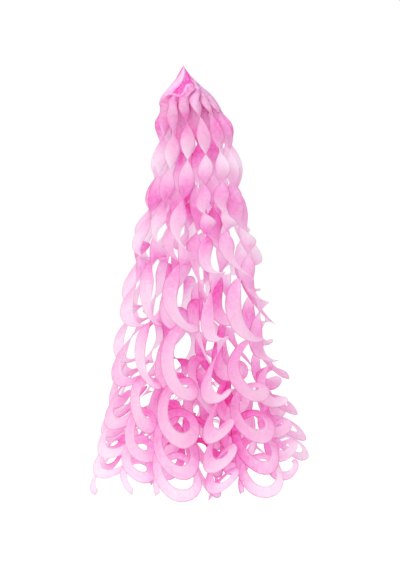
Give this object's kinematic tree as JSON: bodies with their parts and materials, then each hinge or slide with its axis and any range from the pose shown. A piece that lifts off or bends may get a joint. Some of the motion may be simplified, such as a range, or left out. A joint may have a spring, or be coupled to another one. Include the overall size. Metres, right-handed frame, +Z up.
{
  "type": "tissue paper twirl tassel",
  "caption": "Hanging tassel of die-cut tissue paper, pinched up into a pleated peak, with spiral-cut arms that fall in twirls and widen into loose coils.",
  "frame": {"origin": "tip of the pinched peak, where the tassel is held", "axes": "+Z up along the hanging tassel, -Y towards the viewer of the picture, +X to the viewer's right"},
  "size_m": [0.4373, 0.4438, 0.8621],
  "materials": {
    "outer_tissue_sheet": "soft translucent pink tissue paper",
    "inner_tissue_sheet": "soft translucent pink tissue paper"
  },
  "bodies": {
    "root": {"outer_tissue_sheet": "outer_tissue_sheet", "inner_tissue_sheet": "inner_tissue_sheet"}
  },
  "joints": []
}
